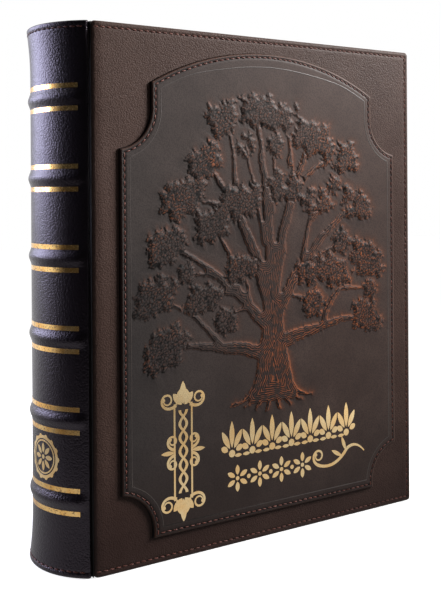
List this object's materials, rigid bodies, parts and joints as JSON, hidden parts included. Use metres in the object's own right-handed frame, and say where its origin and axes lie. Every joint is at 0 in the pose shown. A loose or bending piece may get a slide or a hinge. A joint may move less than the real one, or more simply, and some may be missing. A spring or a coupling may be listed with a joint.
{
  "type": "leather-bound book",
  "caption": "Thick leather-bound book standing upright, with a rounded spine with raised bands, a raised stitched panel with an embossed tree on the front cover, gilding and two hinged covers.",
  "frame": {"origin": "bottom centre of the bounding box: the tail end the book stands on, at the middle of the whole width and thickness", "axes": "+X from the spine to the fore edge, +Y from the front cover to the back cover, +Z from the tail to the head"},
  "size_m": [0.2679, 0.0796, 0.32],
  "materials": {
    "paper": "matt, edges of many sheets",
    "endpaper": "matt",
    "lining_cloth": "open cloth",
    "headband_thread": "two-colour silk thread",
    "board": "grey-brown binder's board",
    "band_leather": "raw strip",
    "spine_leather": "fine grain, polished",
    "cover_leather": "fine grain, satin",
    "panel_leather": "fine grain, satin, burnished to orange-brown on the edges of the relief",
    "gold": "tooled gold foil"
  },
  "bodies": {
    "block": {"text_block": "paper", "front_flyleaf": "endpaper", "back_flyleaf": "endpaper", "spine_lining": "lining_cloth", "headband": "headband_thread", "tailband": "headband_thread", "spine_stiffener": "board", "raised_band_1": "band_leather", "raised_band_2": "band_leather", "raised_band_3": "band_leather", "raised_band_4": "band_leather", "raised_band_5": "band_leather", "raised_band_6": "band_leather", "spine_leather": "spine_leather", "spine_gold_lines": "gold", "spine_rosette": "gold"},
    "front_cover": {"front_board": "board", "front_cover_leather": "cover_leather", "front_pastedown": "endpaper", "front_panel_former": "board", "front_panel_leather": "panel_leather", "front_gilding": "gold"},
    "back_cover": {"back_board": "board", "back_cover_leather": "cover_leather", "back_pastedown": "endpaper"}
  },
  "joints": [
    {"name": "front_cover_hinge", "type": "hinge", "parent": "block", "child": "front_cover", "pos_m": [-0.1136, -0.0353, 0.16], "axis": [0, 0, -1], "range_deg": [0, 180]},
    {"name": "back_cover_hinge", "type": "hinge", "parent": "block", "child": "back_cover", "pos_m": [-0.1136, 0.0389, 0.16], "axis": [0, 0, 1], "range_deg": [0, 180]}
  ]
}
